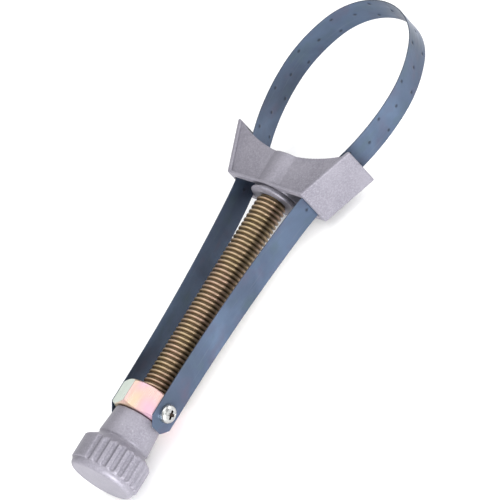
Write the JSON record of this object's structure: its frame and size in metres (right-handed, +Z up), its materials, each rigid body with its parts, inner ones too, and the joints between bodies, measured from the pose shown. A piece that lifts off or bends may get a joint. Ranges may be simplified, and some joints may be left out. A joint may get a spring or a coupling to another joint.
{
  "type": "oil filter wrench",
  "caption": "Adjustable strap wrench for spin-on filters: a dimpled steel strap looped through a cast saddle, drawn tight by a screw, hex nut and fluted knob.",
  "frame": {"origin": "centre of the wrench's underside as it lies flat, below the screw's axis", "axes": "+X across the loop, +Y along the screw from the knob to the loop, +Z up"},
  "size_m": [0.0772, 0.2812, 0.0366],
  "materials": {
    "cast_alloy": "as cast",
    "blued_spring_steel": "blued",
    "bronze_plated_steel": "yellow passivated",
    "iridescent_zinc": "yellow passivated",
    "bright_steel": "bright",
    "plain_steel": "plain"
  },
  "bodies": {
    "frame": {"saddle": "cast_alloy", "thrust_washer": "cast_alloy", "retaining_washer": "plain_steel"},
    "screw": {"threaded_rod": "bronze_plated_steel", "retaining_ring": "plain_steel", "knob": "cast_alloy", "knob_pin": "plain_steel"},
    "nut": {"hex_nut": "iridescent_zinc", "strap_screw_right": "bright_steel", "strap_screw_left": "bright_steel", "strap_tail_right": "blued_spring_steel", "strap_tail_left": "blued_spring_steel"},
    "leg_right": {"strap_leg_right": "blued_spring_steel"},
    "throat_right": {"strap_throat_right": "blued_spring_steel"},
    "side_right": {"strap_side_right": "blued_spring_steel"},
    "shoulder_right": {"strap_shoulder_right": "blued_spring_steel"},
    "crown_right": {"strap_crown_right": "blued_spring_steel"},
    "leg_left": {"strap_leg_left": "blued_spring_steel"},
    "throat_left": {"strap_throat_left": "blued_spring_steel"},
    "side_left": {"strap_side_left": "blued_spring_steel"},
    "shoulder_left": {"strap_shoulder_left": "blued_spring_steel"},
    "crown_left": {"strap_crown_left": "blued_spring_steel"}
  },
  "joints": [
    {"name": "screw_spin", "type": "hinge", "parent": "frame", "child": "screw", "pos_m": [0, 0.0278, 0.0183], "axis": [0, 1, 0], "range_deg": [-7200, 0]},
    {"name": "nut_travel", "type": "slide", "parent": "frame", "child": "nut", "axis": [0, 1, 0], "range_m": [0, 0.05]},
    {"name": "leg_bend_right", "type": "hinge", "parent": "nut", "child": "leg_right", "pos_m": [0.01425, -0.0876, 0.0183], "axis": [0, 0, -1], "range_deg": [0, 1.51]},
    {"name": "throat_bend_right", "type": "hinge", "parent": "leg_right", "child": "throat_right", "pos_m": [0.02035, 0.0138, 0.0183], "axis": [0, 0, -1], "range_deg": [0, 19.77]},
    {"name": "side_bend_right", "type": "hinge", "parent": "throat_right", "child": "side_right", "pos_m": [0.0305, 0.0563, 0.0183], "axis": [0, 0, -1], "range_deg": [-28.91, 0]},
    {"name": "shoulder_bend_right", "type": "hinge", "parent": "side_right", "child": "shoulder_right", "pos_m": [0.0368, 0.09207, 0.0183], "axis": [0, 0, -1], "range_deg": [-13.84, 0]},
    {"name": "crown_bend_right", "type": "hinge", "parent": "shoulder_right", "child": "crown_right", "pos_m": [0.02528, 0.12856, 0.0183], "axis": [0, 0, -1], "range_deg": [0, 21.48]},
    {"name": "leg_bend_left", "type": "hinge", "parent": "nut", "child": "leg_left", "pos_m": [-0.01425, -0.0876, 0.0183], "axis": [0, 0, 1], "range_deg": [0, 1.51]},
    {"name": "throat_bend_left", "type": "hinge", "parent": "leg_left", "child": "throat_left", "pos_m": [-0.02035, 0.0138, 0.0183], "axis": [0, 0, 1], "range_deg": [0, 19.77]},
    {"name": "side_bend_left", "type": "hinge", "parent": "throat_left", "child": "side_left", "pos_m": [-0.0305, 0.0563, 0.0183], "axis": [0, 0, 1], "range_deg": [-28.91, 0]},
    {"name": "shoulder_bend_left", "type": "hinge", "parent": "side_left", "child": "shoulder_left", "pos_m": [-0.0368, 0.09207, 0.0183], "axis": [0, 0, 1], "range_deg": [-13.84, 0]},
    {"name": "crown_bend_left", "type": "hinge", "parent": "shoulder_left", "child": "crown_left", "pos_m": [-0.02528, 0.12856, 0.0183], "axis": [0, 0, 1], "range_deg": [0, 21.48]}
  ],
  "couplings": [
    {"joint": "nut_travel", "follows": "screw_spin", "m_per_rad": -0.00039789},
    {"joint": "leg_bend_right", "follows": "screw_spin", "ratio": -0.00020833},
    {"joint": "throat_bend_right", "follows": "screw_spin", "ratio": -0.0027439},
    {"joint": "side_bend_right", "follows": "screw_spin", "ratio": 0.0040137},
    {"joint": "shoulder_bend_right", "follows": "screw_spin", "ratio": 0.0019201},
    {"joint": "crown_bend_right", "follows": "screw_spin", "ratio": -0.0029817},
    {"joint": "leg_bend_left", "follows": "screw_spin", "ratio": -0.00020833},
    {"joint": "throat_bend_left", "follows": "screw_spin", "ratio": -0.0027439},
    {"joint": "side_bend_left", "follows": "screw_spin", "ratio": 0.0040137},
    {"joint": "shoulder_bend_left", "follows": "screw_spin", "ratio": 0.0019201},
    {"joint": "crown_bend_left", "follows": "screw_spin", "ratio": -0.0029817}
  ]
}
